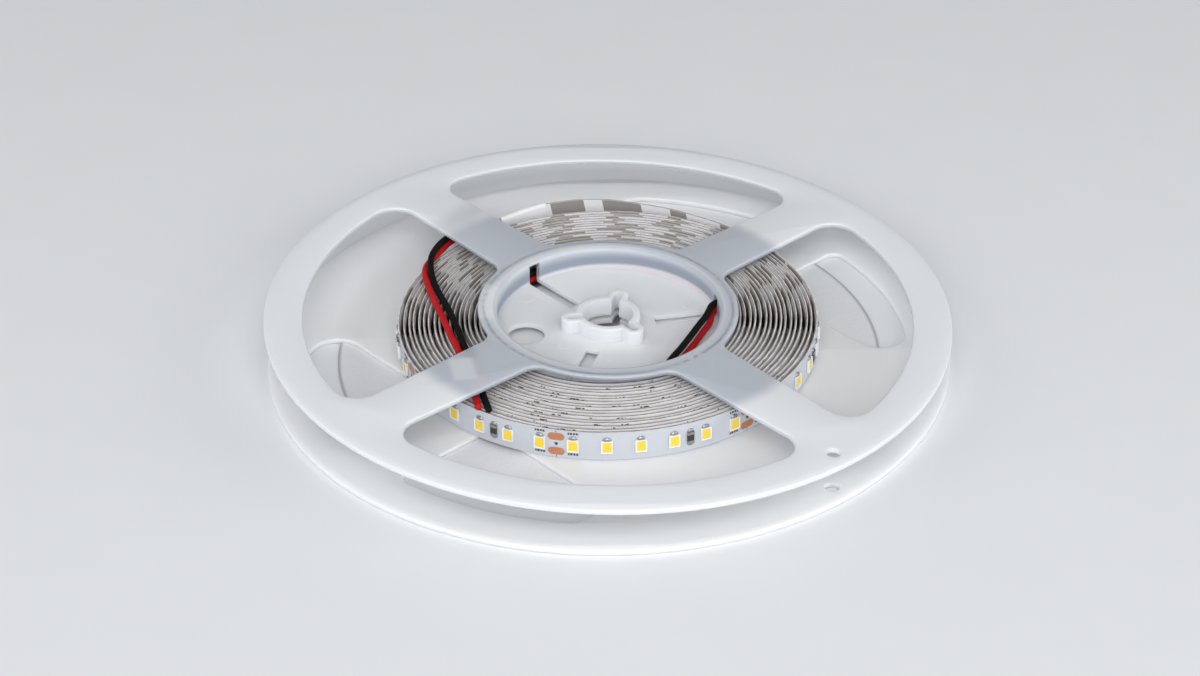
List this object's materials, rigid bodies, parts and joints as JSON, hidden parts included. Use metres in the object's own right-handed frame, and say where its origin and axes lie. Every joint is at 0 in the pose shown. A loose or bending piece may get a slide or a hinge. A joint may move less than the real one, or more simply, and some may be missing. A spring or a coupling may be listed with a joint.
{
  "type": "led strip light reel",
  "caption": "Flat plastic reel with windowed flanges and a keyed hub, wound with white LED strip that has a two-core lead at each end.",
  "frame": {"origin": "on the reel's axis, at the resting face of the lower flange", "axes": "+Z along the reel's axis, from the lower flange to the upper one; the picture looks along +Y, with +X to the right"},
  "size_m": [0.178, 0.178, 0.0158],
  "materials": {
    "reel_plastic": "satin, slightly translucent moulded white",
    "paper": "matt paper",
    "strip": "matt white solder mask and backing paper",
    "sleeve": "satin shrink tube",
    "led_package": "satin phosphor in a white package",
    "resistor_body": "glazed ceramic",
    "black_jacket": "satin jacket",
    "red_jacket": "satin jacket",
    "tape": "matt tape"
  },
  "bodies": {
    "root": {"upper_reel_half": "reel_plastic", "lower_reel_half": "reel_plastic", "reel_label": "paper", "led_strip_coil": "strip", "strip_end_sleeve": "sleeve", "led_01": "led_package", "led_02": "led_package", "led_03": "led_package", "led_04": "led_package", "led_05": "led_package", "led_06": "led_package", "led_07": "led_package", "led_08": "led_package", "led_09": "led_package", "led_10": "led_package", "led_11": "led_package", "led_12": "led_package", "led_13": "led_package", "led_14": "led_package", "led_15": "led_package", "led_16": "led_package", "led_17": "led_package", "led_18": "led_package", "led_19": "led_package", "led_20": "led_package", "led_21": "led_package", "led_22": "led_package", "led_23": "led_package", "led_24": "led_package", "led_25": "led_package", "led_26": "led_package", "led_27": "led_package", "led_28": "led_package", "led_29": "led_package", "led_30": "led_package", "led_31": "led_package", "led_32": "led_package", "led_33": "led_package", "led_34": "led_package", "led_35": "led_package", "led_36": "led_package", "led_37": "led_package", "led_38": "led_package", "led_39": "led_package", "led_40": "led_package", "resistor_1": "resistor_body", "resistor_2": "resistor_body", "resistor_3": "resistor_body", "resistor_4": "resistor_body", "resistor_5": "resistor_body", "resistor_6": "resistor_body", "resistor_7": "resistor_body", "outer_lead_black": "black_jacket", "outer_lead_red": "red_jacket", "inner_lead_black": "black_jacket", "inner_lead_red": "red_jacket", "lead_tape": "tape"}
  },
  "joints": []
}
